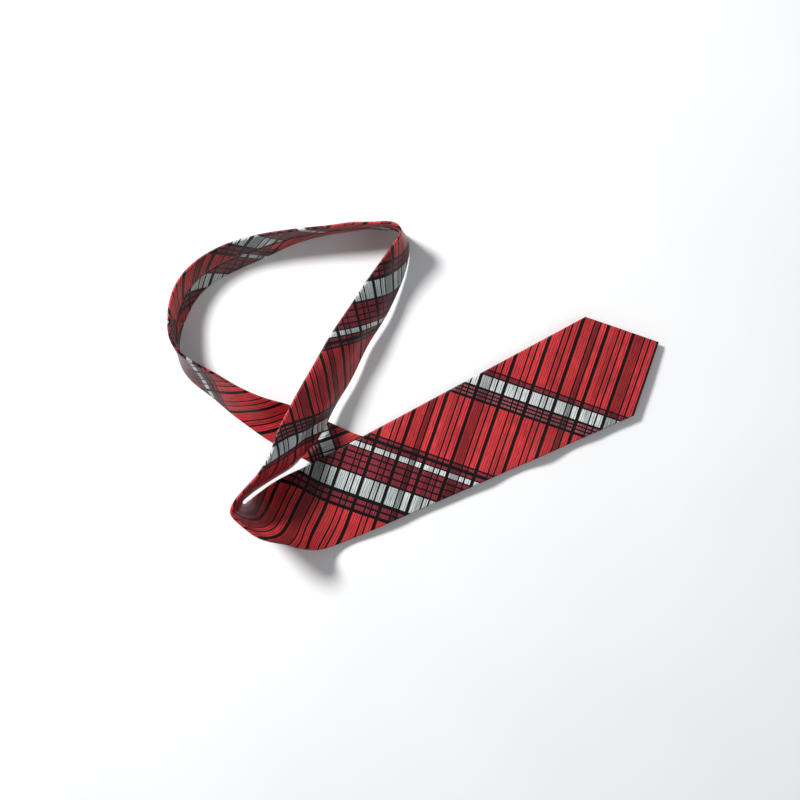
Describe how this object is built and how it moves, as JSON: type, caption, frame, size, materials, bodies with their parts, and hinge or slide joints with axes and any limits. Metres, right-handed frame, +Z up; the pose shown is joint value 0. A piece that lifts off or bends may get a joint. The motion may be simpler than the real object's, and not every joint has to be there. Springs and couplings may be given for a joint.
{
  "type": "necktie",
  "caption": "Long folded necktie laid flat in a loop: pointed front blade, narrow tail held by a keeper loop on the blade's back.",
  "frame": {"origin": "on the surface the tie lies on, below the middle of the laid-out tie", "axes": "+X to the right along the longest extent, the side the front point is on; +Y towards the back of the neck loop; +Z up, away from the surface"},
  "size_m": [0.4191, 0.2788, 0.0686],
  "materials": {
    "silk_plaid": "satin",
    "keeper_cloth": "satin",
    "tipping_cloth": "satin",
    "wool_interlining": "matte",
    "thread": "satin",
    "label_thread": "satin",
    "maker_label": "satin",
    "care_label": "satin"
  },
  "bodies": {
    "neck_loop": {"front_panel_shell": "silk_plaid", "neck_panel_shell": "silk_plaid", "tail_panel_shell": "silk_plaid", "front_interlining": "wool_interlining", "neck_interlining": "wool_interlining", "tail_interlining": "wool_interlining", "collar_slip_stitch": "thread"},
    "front_blade": {"front_blade_shell": "silk_plaid", "front_blade_interlining": "wool_interlining", "front_blade_slip_stitch": "thread", "keeper_loop": "keeper_cloth", "keeper_tacks": "thread", "maker_label": "maker_label", "label_stitches": "label_thread", "care_label": "care_label", "tail_end_shell": "silk_plaid", "tail_end_interlining": "wool_interlining", "tail_tipping": "tipping_cloth", "tail_hem_stitches": "thread", "tail_bar_tack": "thread", "tail_end_slip_stitch": "thread"},
    "front_tip": {"front_tip_shell": "silk_plaid", "front_tip_interlining": "wool_interlining", "front_tipping": "tipping_cloth", "front_hem_stitches": "thread", "front_bar_tack": "thread"}
  },
  "joints": [
    {"name": "front_blade_lift", "type": "hinge", "parent": "neck_loop", "child": "front_blade", "pos_m": [0.01721, -0.05476, 0.0079], "axis": [0.4384, -0.8988, 0], "range_deg": [0, 80]},
    {"name": "front_tip_fold", "type": "hinge", "parent": "front_blade", "child": "front_tip", "pos_m": [0.07473, -0.02671, 0.0079], "axis": [0.4384, -0.8988, 0], "range_deg": [0, 80]}
  ]
}
